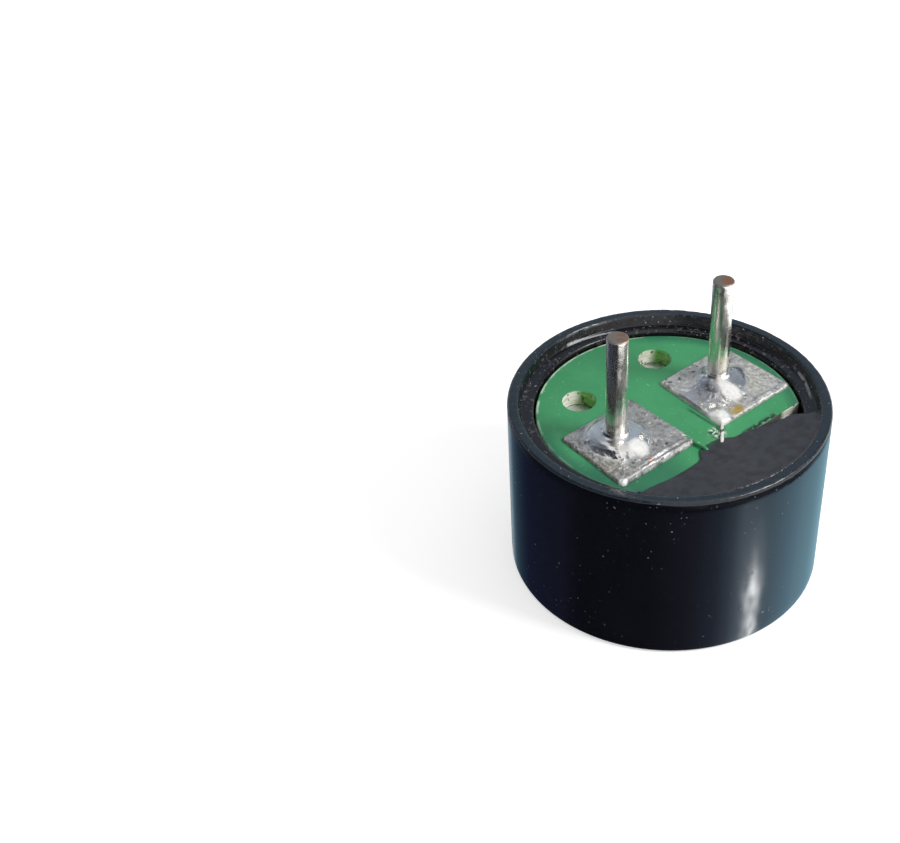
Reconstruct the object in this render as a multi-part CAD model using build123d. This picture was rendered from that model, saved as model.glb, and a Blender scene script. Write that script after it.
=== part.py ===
from build123d import *
import os
from math import cos, radians, sin, sqrt

# Passive electromagnetic buzzer, in millimetres.
# The origin is the centre of the sound face, +Z points out of the open end along the pins,
# +X runs along the line of the pins, and the sealing resin lies on the -Y side.

# Overall sizes
case_diameter = 9.0
case_height = 5.5
pin_pitch = 4.0
pin_diameter = 0.6
pin_standout = 3.0

# Case: a moulded cup with two inner shelves and a stepped rim
front_wall = 0.5
front_edge_round = 0.15
sound_hole_diameter = 1.7
sound_hole_break = 0.05
front_cavity_depth = 1.1
diaphragm_seat_width = 0.4
plate_seat_width = 0.3
ledge_width = 0.34
rim_land = 0.3
rim_edge_break = 0.04
mouth_depth = 0.32
mouth_taper = 0.1

# Diaphragm and the iron disc on its middle
diaphragm_thickness = 0.06
diaphragm_clearance = 0.05
armature_diameter = 3.2
armature_thickness = 0.3
armature_edge_break = 0.05

# Core, coil and magnet
core_diameter = 1.5
core_gap = 0.3
core_edge_break = 0.06
coil_clearance = 0.05
coil_gap = 0.5
coil_edge_break = 0.1
# The coil's winding, as a share of the space between the core and the magnet
coil_build_share = 0.54
magnet_coil_clearance = 0.2
magnet_case_clearance = 0.25
magnet_gap = 0.7
magnet_edge_break = 0.08

# Yoke plate
plate_thickness = 0.6
plate_clearance = 0.06
plate_pin_clearance = 0.3

# Circuit board
board_recess = 0.45
board_thickness = 0.5
board_clearance = 0.06
board_pin_clearance = 0.05
drilled_hole_diameter = 0.95
drilled_hole_inset = 1.18
drilled_hole_angle = 53.4

# Pins: copper wire with a coat of tin, which has melted into the solder inside the joint
tin_coat = 0.02
pin_end_break = 0.03

# Solder on the two pads, which lie a little towards +X and -Y of the pins
pad_gap = 1.12
pad_width = 2.5
pad_edge_margin = 0.04
pad_offset = 0.2
pad_shift = 0.13
pad_corner_round = 0.12
solder_thickness = 0.1
solder_edge_break = 0.04
solder_foot_width = 0.55
solder_collar_width = 0.06
solder_climb = 0.34

# Coil leads, which come up a little towards -X of the middle
lead_diameter = 0.1
lead_spacing = 0.5
lead_shift = 0.25
lead_coil_clearance = 0.02
lead_hole_clearance = 0.1
lead_start_depth = 0.5
lead_bend = 0.12
lead_lift = 0.02
lead_in_solder = 0.25
lead_notch_depth = 0.35
lead_notch_margin = 0.15

# Sealing resin
resin_lap = 0.15
resin_feather = 0.02
resin_rim_drop = 0.04
# The resin's inner edge: along X as shares of the bore, past the board's flat edge as shares of the lap
resin_edge_shares = [
    (-1.20, 1.3), (-0.78, 1.1), (-0.64, 0.7), (-0.54, 0.3), (-0.44, 0.2), (-0.33, 0.2), (-0.25, 0.5),
    (-0.21, 1.6), (-0.17, 2.5), (-0.09, 2.7), (-0.01, 2.6), (0.05, 2.1), (0.11, 0.8), (0.17, 0.5),
    (0.25, 0.2), (0.34, -0.6), (0.43, -1.6), (0.51, -1.8), (0.60, -2.2), (0.66, -3.9), (0.73, -5.8),
    (0.86, -11.5),
]
resin_slope_share = 3.1

# How far a cutting shape runs past the face that it cuts
overrun = 0.5

# Radii, from the outside of the case inwards
case_radius = case_diameter / 2
mouth_radius = case_radius - rim_land
ledge_radius = mouth_radius - mouth_taper
bore_radius = ledge_radius - ledge_width
pocket_radius = bore_radius - plate_seat_width
cavity_radius = pocket_radius - diaphragm_seat_width
sound_hole_radius = sound_hole_diameter / 2
pin_radius = pin_diameter / 2
bare_pin_radius = pin_radius - tin_coat
pin_x = pin_pitch / 2
board_radius = bore_radius - board_clearance
plate_radius = bore_radius - plate_clearance
core_radius = core_diameter / 2
magnet_outer_radius = pocket_radius - magnet_case_clearance
coil_inner_radius = core_radius + coil_clearance
coil_build = coil_build_share * (magnet_outer_radius - coil_inner_radius - magnet_coil_clearance)
coil_outer_radius = coil_inner_radius + coil_build
magnet_inner_radius = coil_outer_radius + magnet_coil_clearance

# Heights, from the sound face upwards
diaphragm_seat_z = front_wall + front_cavity_depth
diaphragm_top = diaphragm_seat_z + diaphragm_thickness
core_tip = diaphragm_top + core_gap
coil_bottom = diaphragm_top + coil_gap
magnet_bottom = diaphragm_top + magnet_gap
board_top = case_height - board_recess
board_bottom = board_top - board_thickness
plate_bottom = board_bottom - plate_thickness
ledge_z = case_height - mouth_depth
pin_top = case_height + pin_standout
solder_top = board_top + solder_thickness
climb_top = solder_top + solder_climb

# The leads stand in the gap between coil and magnet, and the board's flat edge follows them
lead_radius = lead_diameter / 2
lead_ring_radius = coil_outer_radius + lead_coil_clearance + lead_radius
far_lead_x = lead_shift + lead_spacing / 2
far_lead_y = -sqrt(lead_ring_radius ** 2 - far_lead_x ** 2)
lead_run_z = board_top + lead_radius + lead_lift
board_flat_y = far_lead_y + lead_radius + lead_hole_clearance - lead_notch_depth

# Pads, from the board's edge on the +X side and the gap between them
pad_low_y = -pad_offset - pad_width / 2
pad_inner_x = pad_gap / 2
pad_outer_x = sqrt(board_radius ** 2 - pad_low_y ** 2) - pad_edge_margin - pad_shift
pad_length = pad_outer_x - pad_inner_x
pad_middle_x = (pad_outer_x + pad_inner_x) / 2


def corner(face, across, up):
    """The corner of a flat profile that lies nearest to a place across and up."""
    return face.vertices().sort_by_distance(Vector(across, 0, up))[0]


def turned(points, breaks=(), rounds=()):
    """Turn an outline of (radius, height) points about the Z axis.

    Breaks and rounds are (radius, height, size): a break cuts that corner flat, a round gives it a radius.
    """
    outline = Polyline([(across, 0, up) for across, up in points], close=True)
    face = make_face(outline)
    for across, up, size in breaks:
        face = chamfer(corner(face, across, up), size)
    for across, up, size in rounds:
        face = fillet(corner(face, across, up), size)
    return revolve(face, Axis.Z)


def upright(radius, low, high, across=0, along=0):
    """A round bar on the Z direction between two heights."""
    return Pos(across, along, low) * extrude(Circle(radius), high - low)


def lead_place(side):
    """Where a lead stands across and along, in the gap between coil and magnet."""
    across = side * lead_spacing / 2 - lead_shift
    return across, -sqrt(lead_ring_radius ** 2 - across ** 2)


def make_case():
    points = [
        (sound_hole_radius, 0),
        (case_radius, 0),
        (case_radius, case_height),
        (mouth_radius, case_height),
        (ledge_radius, ledge_z),
        (bore_radius, ledge_z),
        (bore_radius, plate_bottom),
        (pocket_radius, plate_bottom),
        (pocket_radius, diaphragm_seat_z),
        (cavity_radius, diaphragm_seat_z),
        (cavity_radius, front_wall),
        (sound_hole_radius, front_wall),
    ]
    breaks = [
        (case_radius, case_height, rim_edge_break),
        (mouth_radius, case_height, rim_edge_break),
        (sound_hole_radius, 0, sound_hole_break),
    ]
    return turned(points, breaks, rounds=[(case_radius, 0, front_edge_round)])


def make_diaphragm():
    return upright(pocket_radius - diaphragm_clearance, diaphragm_seat_z, diaphragm_top)


def make_armature_disc():
    disc = upright(armature_diameter / 2, diaphragm_seat_z - armature_thickness, diaphragm_seat_z)
    return chamfer(disc.edges().group_by(Axis.Z)[0], armature_edge_break)


def make_core():
    bar = upright(core_radius, core_tip, board_bottom)
    return chamfer(bar.edges().group_by(Axis.Z)[0], core_edge_break)


def make_coil():
    points = [
        (coil_inner_radius, coil_bottom),
        (coil_outer_radius, coil_bottom),
        (coil_outer_radius, plate_bottom),
        (coil_inner_radius, plate_bottom),
    ]
    breaks = [
        (coil_outer_radius, coil_bottom, coil_edge_break),
        (coil_outer_radius, plate_bottom, coil_edge_break),
    ]
    return turned(points, breaks)


def make_ring_magnet():
    ring = upright(magnet_outer_radius, magnet_bottom, plate_bottom)
    ring -= upright(magnet_inner_radius, magnet_bottom - overrun, plate_bottom + overrun)
    return chamfer(ring.edges().group_by(Axis.Z)[0], magnet_edge_break)


def make_yoke_plate():
    plate = upright(plate_radius, plate_bottom, board_bottom)
    below = plate_bottom - overrun
    above = board_bottom + overrun
    plate -= upright(core_radius, below, above)
    for side in (-1, 1):
        plate -= upright(pin_radius + plate_pin_clearance, below, above, side * pin_x)
        plate -= upright(lead_radius + lead_hole_clearance, below, above, *lead_place(side))
    return plate


def make_circuit_board():
    outline = Circle(board_radius)
    outline -= Pos(0, board_flat_y - board_radius) * Rectangle(2 * board_radius, 2 * board_radius)
    notch_width = lead_spacing + 2 * lead_notch_margin
    outline -= Pos(-lead_shift, board_flat_y) * Rectangle(notch_width, 2 * lead_notch_depth)
    hole_reach = board_radius - drilled_hole_inset
    hole_x = hole_reach * cos(radians(drilled_hole_angle))
    hole_y = hole_reach * sin(radians(drilled_hole_angle))
    for side in (-1, 1):
        outline -= Pos(side * pin_x, 0) * Circle(pin_radius + board_pin_clearance)
        outline -= Pos(side * hole_x, hole_y) * Circle(drilled_hole_diameter / 2)
    return Pos(0, 0, board_bottom) * extrude(outline, board_thickness)


def make_pin(side):
    points = [
        (0, pin_top),
        (pin_radius, pin_top),
        (pin_radius, climb_top),
        (bare_pin_radius, climb_top),
        (bare_pin_radius, board_bottom),
        (0, board_bottom),
    ]
    bar = turned(points, breaks=[(pin_radius, pin_top, pin_end_break)])
    return Pos(side * pin_x, 0, 0) * bar


def make_coil_lead(side):
    target_x = side * (pad_inner_x + pad_corner_round) + pad_shift
    target = Vector(target_x, pad_low_y + pad_corner_round, lead_run_z)
    turn = Vector(*lead_place(side), lead_run_z)
    run = (target - turn).normalized()
    start = Vector(turn.X, turn.Y, plate_bottom - lead_start_depth)
    bend_start = Vector(turn.X, turn.Y, lead_run_z - lead_bend)
    route = Polyline(start, bend_start, turn + run * lead_bend, target + run * lead_in_solder)
    section = Plane(start, z_dir=(0, 0, 1)) * Circle(lead_radius)
    return sweep(section, route, transition=Transition.RIGHT)


def make_solder(side):
    pad = RectangleRounded(pad_length, pad_width, pad_corner_round)
    slab = Pos(side * pad_middle_x + pad_shift, -pad_offset, board_top) * extrude(pad, solder_thickness)
    slab = chamfer(slab.edges().group_by(Axis.Z)[-1], solder_edge_break)
    foot_radius = pin_radius + solder_collar_width + solder_foot_width
    centre = (foot_radius, climb_top)
    hollow = EllipticalCenterArc(centre, solder_foot_width, solder_climb, start_angle=180, arc_size=90)
    closing = Polyline(hollow @ 1, (foot_radius, board_top), (0, board_top), (0, climb_top), hollow @ 0)
    climb = revolve(Plane.XZ * make_face([hollow, closing]), Axis.Z)
    joint = slab + Pos(side * pin_x, 0, 0) * climb
    joint -= upright(bare_pin_radius, board_top - overrun, climb_top + overrun, side * pin_x)
    return joint - make_coil_lead(side)


def make_sealing_resin():
    mouth_points = [
        (0, board_bottom),
        (bore_radius, board_bottom),
        (bore_radius, ledge_z),
        (ledge_radius, ledge_z),
        (mouth_radius, case_height),
        (0, case_height),
    ]
    mouth = turned(mouth_points)
    edge = [(across * bore_radius, board_flat_y + lap * resin_lap) for across, lap in resin_edge_shares]
    inner_edge = Spline([Vector(across, along) for across, along in edge])
    back = -case_radius - overrun
    closing = Polyline(inner_edge @ 1, (edge[-1][0], back), (edge[0][0], back), inner_edge @ 0)
    footprint = Pos(0, 0, board_bottom) * extrude(make_face([inner_edge, closing]), case_height)
    slope_start = board_flat_y + resin_slope_share * resin_lap
    section = Polyline(
        (0, slope_start, board_bottom),
        (0, slope_start, board_top + resin_feather),
        (0, -mouth_radius, case_height - resin_rim_drop),
        (0, back, case_height - resin_rim_drop),
        (0, back, board_bottom),
        close=True,
    )
    wedge = extrude(make_face(section), case_radius, dir=(1, 0, 0), both=True)
    resin = mouth & footprint & wedge
    resin -= make_case()
    resin -= make_circuit_board()
    for side in (-1, 1):
        resin -= make_coil_lead(side)
    return resin


def make_parts():
    parts = {
        "case": make_case(),
        "diaphragm": make_diaphragm(),
        "armature_disc": make_armature_disc(),
        "core": make_core(),
        "coil": make_coil(),
        "ring_magnet": make_ring_magnet(),
        "yoke_plate": make_yoke_plate(),
        "circuit_board": make_circuit_board(),
        "sealing_resin": make_sealing_resin(),
    }
    for name, side in (("left", -1), ("right", 1)):
        parts["pin_" + name] = make_pin(side)
        parts["solder_" + name] = make_solder(side)
        parts["coil_lead_" + name] = make_coil_lead(side)
    return parts


os.makedirs("parts", exist_ok=True)
for node, shape in make_parts().items():
    export_step(shape, "parts/" + node + ".step")
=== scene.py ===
# %% [markdown]
# # A passive buzzer, finished for its picture
#
# A passive buzzer is a small black cup with a magnet, a coil and a thin steel disc inside. A round green
# board closes it, and two pins stand out of the solder on that board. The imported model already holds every
# piece at its true size, so this lesson loads it as a fixed frame and only adds what the eye looks for:
# rounded edges, lumpy solder, a poured edge of resin, and surfaces with grain and wear.

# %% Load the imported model
import math

import bmesh
import bpy
import numpy as np
from mathutils import Matrix, Vector, noise


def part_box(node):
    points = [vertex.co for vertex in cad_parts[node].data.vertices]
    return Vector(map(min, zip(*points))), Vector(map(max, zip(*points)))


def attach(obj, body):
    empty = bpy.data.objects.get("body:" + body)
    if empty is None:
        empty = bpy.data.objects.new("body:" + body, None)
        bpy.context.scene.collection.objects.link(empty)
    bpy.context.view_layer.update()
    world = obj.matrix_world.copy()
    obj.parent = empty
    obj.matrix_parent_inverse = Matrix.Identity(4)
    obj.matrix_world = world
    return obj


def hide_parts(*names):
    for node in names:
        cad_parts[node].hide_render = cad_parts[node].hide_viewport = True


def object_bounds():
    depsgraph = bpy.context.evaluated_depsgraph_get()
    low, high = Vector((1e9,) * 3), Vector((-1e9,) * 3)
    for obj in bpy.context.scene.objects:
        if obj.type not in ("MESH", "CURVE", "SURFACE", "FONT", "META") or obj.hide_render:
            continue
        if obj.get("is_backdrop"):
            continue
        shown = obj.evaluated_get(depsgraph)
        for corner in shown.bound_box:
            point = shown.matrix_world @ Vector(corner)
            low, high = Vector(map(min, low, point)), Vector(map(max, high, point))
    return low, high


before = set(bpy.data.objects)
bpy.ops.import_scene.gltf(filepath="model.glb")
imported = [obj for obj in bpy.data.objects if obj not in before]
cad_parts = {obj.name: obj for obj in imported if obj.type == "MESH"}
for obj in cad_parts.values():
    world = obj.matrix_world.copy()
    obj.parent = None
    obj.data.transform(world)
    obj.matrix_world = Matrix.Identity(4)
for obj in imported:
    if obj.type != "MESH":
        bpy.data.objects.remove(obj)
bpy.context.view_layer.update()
scene = bpy.context.scene
MM = 0.001

# %% [markdown]
# ## Sizes from the frame
#
# The loaded pieces know their own size, so most places in this lesson are read from them. They are kept in
# millimetres, because a buzzer is easier to think about that way. Only the steps of the case's inner wall
# are named here, since no other piece shows them.

# %% Read the sizes
def box_mm(node):
    """Lowest and highest corner of a node, in millimetres."""
    low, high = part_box(node)
    return low / MM, high / MM


case_radius, case_height = box_mm("case")[1].x, box_mm("case")[1].z
board_low, board_high = box_mm("circuit_board")
board_radius, board_top, board_bottom = board_high.x, board_high.z, board_low.z
board_flat_y = board_low.y
plate_bottom = box_mm("yoke_plate")[0].z
diaphragm_seat = box_mm("diaphragm")[0].z
pin_low, pin_high = box_mm("pin_right")
pin_radius, pin_x, pin_top = (pin_high.x - pin_low.x) / 2, (pin_high.x + pin_low.x) / 2, pin_high.z
pad_low, pad_high = box_mm("solder_right")
climb_top = pad_high.z
rim_land, mouth_taper, mouth_depth, ledge_width = 0.3, 0.1, 0.32, 0.34
front_wall, sound_hole_radius, plate_seat_width, diaphragm_seat_width = 0.5, 0.85, 0.3, 0.4
mouth_radius = case_radius - rim_land
ledge_radius = mouth_radius - mouth_taper
bore_radius = ledge_radius - ledge_width
ledge_z = case_height - mouth_depth
print("case", round(2 * case_radius, 2), "by", round(case_height, 2), "mm")
print("pins", round(2 * pin_x, 2), "mm apart")

# %% [markdown]
# ## Camera
#
# The photograph looks down on the pins from the front left, with the camera tilted a little to one side.
# The angles below were found by fitting the rim, the bottom edge and the pin ends. The camera's own axes
# are built as three vectors, which makes the tilt and the sideways slide easy to add.

# %% Place the camera
camera_azimuth, camera_elevation, camera_roll = (math.radians(turn) for turn in (-36.4222, 37.7785, -3.8454))
camera_distance, camera_slide, camera_lift = 45.2699, -6.3815, 3.6743
LENS, SENSOR_WIDTH, FARTHEST = 60, 36, 10


def direction(azimuth, elevation):
    """Unit vector from the object outwards; azimuth 0 is the front, and it grows towards the right."""
    flat = math.cos(elevation)
    return Vector((math.sin(azimuth) * flat, -math.cos(azimuth) * flat, math.sin(elevation)))


def stand(name, data):
    """A new object in the scene."""
    item = bpy.data.objects.new(name, data)
    scene.collection.objects.link(item)
    return item


backward = direction(camera_azimuth, camera_elevation)
level_right = Vector((0, 0, 1)).cross(backward).normalized()
level_up = backward.cross(level_right)
camera_right = math.cos(camera_roll) * level_right + math.sin(camera_roll) * level_up
camera_up = math.cos(camera_roll) * level_up - math.sin(camera_roll) * level_right
camera_place = backward * camera_distance + camera_right * camera_slide + camera_up * camera_lift

camera = stand("camera", bpy.data.cameras.new("camera"))
turn = Matrix((camera_right, camera_up, backward)).transposed().to_4x4()
camera.matrix_world = Matrix.Translation(camera_place * MM) @ turn
camera.data.lens, camera.data.sensor_width = LENS, SENSOR_WIDTH
camera.data.clip_start, camera.data.clip_end = MM, FARTHEST
scene.camera = camera
print("camera", round(camera_distance), "mm away,", round(math.degrees(camera_elevation), 1), "degrees up")

# %% [markdown]
# ## Building node trees
#
# Floor, lights and surfaces all need node trees. A node's output is wrapped as a field, which takes part in
# plain arithmetic: a plus sign between two fields adds a Math node to their tree. A few small helpers wrap
# the other nodes that are used again and again. An input is either a field, which gets linked, or a plain
# value.

# %% Node helpers
class Field:
    """A node's output. Arithmetic with it adds Math nodes to the same tree."""

    def __init__(self, socket):
        self.socket, self.tree = socket, socket.id_data

    def __add__(self, other):
        return calc("ADD", self, other)

    def __radd__(self, other):
        return calc("ADD", other, self)

    def __sub__(self, other):
        return calc("SUBTRACT", self, other)

    def __rsub__(self, other):
        return calc("SUBTRACT", other, self)

    def __mul__(self, other):
        return calc("MULTIPLY", self, other)

    def __truediv__(self, other):
        return calc("DIVIDE", self, other)

    def __rtruediv__(self, other):
        return calc("DIVIDE", other, self)

    def __mod__(self, other):
        return calc("MODULO", self, other)

    def __abs__(self):
        return calc("ABSOLUTE", self)


def fill(socket, value):
    """Link a field to a socket, or set a plain value. Colours are given as red, green and blue."""
    if isinstance(value, Field):
        socket.id_data.links.new(value.socket, socket)
    else:
        socket.default_value = (*value, 1) if socket.type == "RGBA" else value


def put(tree, kind, inputs, output=0, **settings):
    """Add a node with its settings, fill its inputs, and give one of its outputs, if it has any."""
    node = tree.nodes.new(kind)
    for label, value in settings.items():
        setattr(node, label, value)
    for label, value in inputs.items():
        fill(node.inputs[label], value)
    return Field(node.outputs[output]) if node.outputs else None


def calc(operation, *values):
    """A Math node's result."""
    tree = next(value.tree for value in values if isinstance(value, Field))
    return put(tree, "ShaderNodeMath", dict(enumerate(values)), operation=operation)


def larger(first, second):
    """The larger of two values."""
    return calc("MAXIMUM", first, second)


def distance(x, y):
    """How far a place is from the axis."""
    return calc("SQRT", x * x + y * y)


def ramp(value, low, high, start=0.0, end=1.0):
    """Ease from start to end while value goes from low to high."""
    limits = {"Value": value, "From Min": low, "From Max": high, "To Min": start, "To Max": end}
    return put(value.tree, "ShaderNodeMapRange", limits, interpolation_type="SMOOTHSTEP")


def fade(value, low, high):
    """1 up to low, easing to 0 at high."""
    return ramp(value, low, high, 1.0, 0.0)


def split(vector):
    """The three parts of a vector."""
    first = put(vector.tree, "ShaderNodeSeparateXYZ", {0: vector})
    return [Field(part) for part in first.socket.node.outputs]


def join(*parts):
    """A vector from its parts."""
    return put(parts[0].tree, "ShaderNodeCombineXYZ", dict(enumerate(parts)))


def mottle(place, size, detail=2.0, seed=0.0):
    """Soft random value with patches of a size in the units of place."""
    inputs = {"Vector": place, "W": seed, "Scale": 1 / size, "Detail": detail}
    return put(place.tree, "ShaderNodeTexNoise", inputs, noise_dimensions="4D")


def blend(share, first, second):
    """Mix two colours."""
    return put(share.tree, "ShaderNodeMix", {0: share, 6: first, 7: second}, 2, data_type="RGBA")


def paint(colour, *coats):
    """Lay coats over a colour, each a share and a colour of its own."""
    for share, coat in coats:
        colour = blend(share, colour, coat)
    return colour


def spot(x, y, spot_x, spot_y, radius, stretch=1.0):
    """1 at a place on the board, easing to 0 at a radius, which can be stretched along Y."""
    return fade(distance(x - spot_x, (y - spot_y) / stretch), radius * 0.5, radius)


def new_material(name):
    """A material and its node tree."""
    finish = bpy.data.materials.new(name)
    finish.use_nodes = True
    return finish, finish.node_tree


print("node helpers ready")

# %% [markdown]
# ## Floor and background
#
# The picture is a plain product shot on white. The world is white where the camera, a reflection or a clear
# surface looks at it, and softer where it lights the scene. The floor is white paper: its own glow only
# tops it up to white for the camera, so the object's shadow stays. It is clear from below, so that the
# sound face can be looked at too.

# %% Make the world and the floor
SKY_LIGHT, WHITE = 0.6, (1, 1, 1)
FLOOR_GLOW, FLOOR_HALF, FLOOR_DROP = 0.5, 300 * MM, 0.01 * MM
PAPER_PATCH, PAPER_TONES = 8 * MM, (0.87, 0.9)
SQUARE = ((-1, -1), (1, -1), (1, 1), (-1, 1))


def seen_directly(tree):
    """1 for camera, glossy and transmission rays, otherwise 0."""
    path = tree.nodes.new("ShaderNodeLightPath").outputs
    rays = [Field(path["Is " + ray + " Ray"]) for ray in ("Camera", "Glossy", "Transmission")]
    return larger(larger(rays[0], rays[1]), rays[2])


world = bpy.data.worlds.new("white_studio")
world.use_nodes = True
scene.world = world
sky = world.node_tree.nodes["Background"].inputs
fill(sky["Color"], WHITE)
fill(sky["Strength"], ramp(seen_directly(world.node_tree), 0.0, 1.0, SKY_LIGHT, 1.0))

paper, tree = new_material("white_paper")
tree.nodes.clear()
paper_tone = ramp(mottle(put(tree, "ShaderNodeTexCoord", {}, "Object"), PAPER_PATCH), 0.3, 0.7, *PAPER_TONES)
diffuse = put(tree, "ShaderNodeBsdfDiffuse", {"Color": join(paper_tone, paper_tone, paper_tone)})
glow = put(tree, "ShaderNodeEmission", {"Color": WHITE, "Strength": seen_directly(tree) * FLOOR_GLOW})
lit = put(tree, "ShaderNodeAddShader", {0: diffuse, 1: glow})
clear = put(tree, "ShaderNodeBsdfTransparent", {})
from_below = put(tree, "ShaderNodeNewGeometry", {}, "Backfacing")
two_sided = put(tree, "ShaderNodeMixShader", {0: from_below, 1: lit, 2: clear})
put(tree, "ShaderNodeOutputMaterial", {"Surface": two_sided})

floor_mesh = bpy.data.meshes.new("floor")
corners = [(x * FLOOR_HALF, y * FLOOR_HALF, -FLOOR_DROP) for x, y in SQUARE]
floor_mesh.from_pydata(corners, [], [(0, 1, 2, 3)])
floor_mesh.materials.append(paper)
floor = stand("floor", floor_mesh)
floor.visible_shadow = False
floor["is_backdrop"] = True
print("floor", round(2 * FLOOR_HALF / MM), "mm wide")

# %% [markdown]
# ## Soft light
#
# One large soft box stands to the right, above the rim, and puts the bright spots on the right of each
# solder joint. The lamp's power follows from the brightness that it gives a white card at the object.
# Angles are counted from the camera's side.

# %% Place the soft box
BOX_AZIMUTH, BOX_ELEVATION, BOX_DISTANCE, BOX_SIZE, BOX_LEVEL = 64, 42, 90, 28, 0.55


def outward(azimuth, elevation=0):
    """Direction at some degrees from the camera's side."""
    return direction(camera_azimuth + math.radians(azimuth), math.radians(elevation))


lamp = bpy.data.lights.new("key_soft_box", "AREA")
lamp.size = BOX_SIZE * MM
lamp.energy = (math.pi * BOX_DISTANCE * MM) ** 2 * BOX_LEVEL
soft_box = stand("key_soft_box", lamp)
aim = outward(BOX_AZIMUTH, BOX_ELEVATION)
facing = aim.to_track_quat("Z", "Y").to_matrix().to_4x4()
soft_box.matrix_world = Matrix.Translation(aim * BOX_DISTANCE * MM) @ facing
soft_box.visible_camera = False
print("soft box", BOX_SIZE, "mm wide,", BOX_DISTANCE, "mm away")

# %% [markdown]
# ## Cards for the reflections
#
# Shiny black and bright tin look like what they mirror, so cards stand round the object, as a photographer
# would place them. They show only in reflections. The first lies on the far floor. The second lies on the
# near floor, where the case's wall mirrors it towards the camera: it is laid out by the place on the wall,
# and it holds the bright broken streak on the right. The third is a flag behind the object and to its left,
# where its roof reaches past the middle, so that the tops of the pads and the pins mirror something dark.

# %% Card helpers
def card(name, rows):
    """A bent card that shows only in reflections, from rows of (point, tone) pairs."""
    wide = len(rows[0])
    firsts = [row * wide + column for row in range(len(rows) - 1) for column in range(wide - 1)]
    mesh = bpy.data.meshes.new(name)
    mesh.from_pydata([tuple(point * MM) for row in rows for point, _ in row], [],
                     [(first, first + 1, first + wide + 1, first + wide) for first in firsts])
    painted = mesh.color_attributes.new("tone", "FLOAT_COLOR", "POINT")
    for place, tone in zip(painted.data, [tone for row in rows for _, tone in row]):
        place.color = (*tone, 1)
    finish, tree = new_material(name)
    tree.nodes.clear()
    tone = put(tree, "ShaderNodeAttribute", {}, "Color", attribute_name="tone")
    shine = put(tree, "ShaderNodeEmission", {"Color": tone, "Strength": 1.0})
    put(tree, "ShaderNodeOutputMaterial", {"Surface": shine})
    mesh.materials.append(finish)
    sheet = stand(name, mesh)
    for ray in ("camera", "diffuse", "transmission", "volume_scatter", "shadow"):
        setattr(sheet, "visible_" + ray, False)
    sheet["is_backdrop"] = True
    print(name, "has", len(mesh.polygons), "faces")


def between(marks, place):
    """Values at a place, in a straight line between the marks on either side."""
    keys = sorted(marks)
    return [float(np.interp(place, keys, part)) for part in zip(*(marks[key] for key in keys))]


def around(azimuth, radius, height):
    """A point at an azimuth from the camera's side."""
    return outward(azimuth) * radius + Vector((0, 0, height))


def mirrored(azimuth, height, level):
    """Where the sight line goes that the case's wall turns down to the floor."""
    place = around(azimuth, case_radius, height)
    normal = around(azimuth, 1, 0)
    sight = (place - camera_place).normalized()
    bounce = sight - 2 * sight.dot(normal) * normal
    return place + bounce * ((level - height) / bounce.z)


print("card helpers ready")

# %% Place the cards
CARD_STEP, FLOOR_CARD_Z, FLOOR_CARD_GAP = 5, -0.005, 0.05
# The far floor, by azimuth: outer radius, then the tone
floor_marks = {
    -180: (30, 0.30, 0.38, 0.44), -150: (40, 0.34, 0.40, 0.47), -120: (50, 0.14, 0.17, 0.23),
    -95: (50, 0.02, 0.03, 0.06), -40: (50, 0.006, 0.008, 0.016), 0: (14, 0.004, 0.005, 0.010),
    70: (11.8, 0.010, 0.014, 0.022), 95: (11.8, 0.16, 0.25, 0.30), 125: (11.8, 0.36, 0.52, 0.60),
    155: (20, 0.42, 0.60, 0.68), 180: (30, 0.30, 0.38, 0.44),
}
floor_rows = []
for azimuth in range(-180, 181, CARD_STEP):
    outer, *tone = between(floor_marks, azimuth)
    reaches = (case_radius + FLOOR_CARD_GAP, outer)
    floor_rows.append([(around(azimuth, reach, FLOOR_CARD_Z), tone) for reach in reaches])
card("floor_card", floor_rows)

# The near floor, by the azimuth of the wall that mirrors it, and the bright streak in it by the wall's height
wall_marks = {
    -88: (0.55, 0.70, 0.80), -80: (0.11, 0.20, 0.28), -74: (0.055, 0.10, 0.165), -66: (0.03, 0.04, 0.105),
    -48: (0.045, 0.054, 0.125), -38: (0.018, 0.016, 0.024), -14: (0.03, 0.03, 0.04), 0: (0.10, 0.10, 0.16),
    9: (0.19, 0.26, 0.38), 14: (0.45, 0.58, 0.75), 18: (0.92, 1.18, 1.45), 28: (0.62, 0.93, 1.15),
    39: (0.58, 1.0, 1.3), 45: (0.58, 1.0, 1.25), 54: (0.42, 0.77, 0.95), 78: (0.35, 0.55, 0.65),
}
streak_marks = {0: (5,), 0.6: (9,), 1.1: (7,), 1.5: (12,), 1.9: (18,), 2.3: (9,), 2.8: (3,), 3.6: (1,),
                4.6: (0,), 5.6: (0,)}
STREAK_AZIMUTH, STREAK_HALF, STREAK_LEVEL, STREAK_BREAKS, STREAK_SEED = 23.5, 6.0, 0.8, 1.4, 3.0
BREAKS_ACROSS, BREAKS_UP, WALL_STEPS, WALL_CARD_Z = 0.45, 2.2, 40, -0.003
wall_rows = []
for azimuth in range(min(wall_marks), max(wall_marks) + 1):
    tone = between(wall_marks, azimuth)
    share = max(0.0, 1 - abs(azimuth - STREAK_AZIMUTH) / STREAK_HALF)
    row = []
    for step in range(WALL_STEPS + 1):
        height = case_height * step / WALL_STEPS
        cloud = noise.noise(Vector((azimuth * BREAKS_ACROSS, height * BREAKS_UP, STREAK_SEED)))
        broken = max(0.0, STREAK_LEVEL + STREAK_BREAKS * cloud)
        streak = share ** 2 * broken * between(streak_marks, height)[0]
        row.append((mirrored(azimuth, height, WALL_CARD_Z), [part + streak for part in tone]))
    wall_rows.append(row)
card("wall_card", wall_rows)

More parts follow.
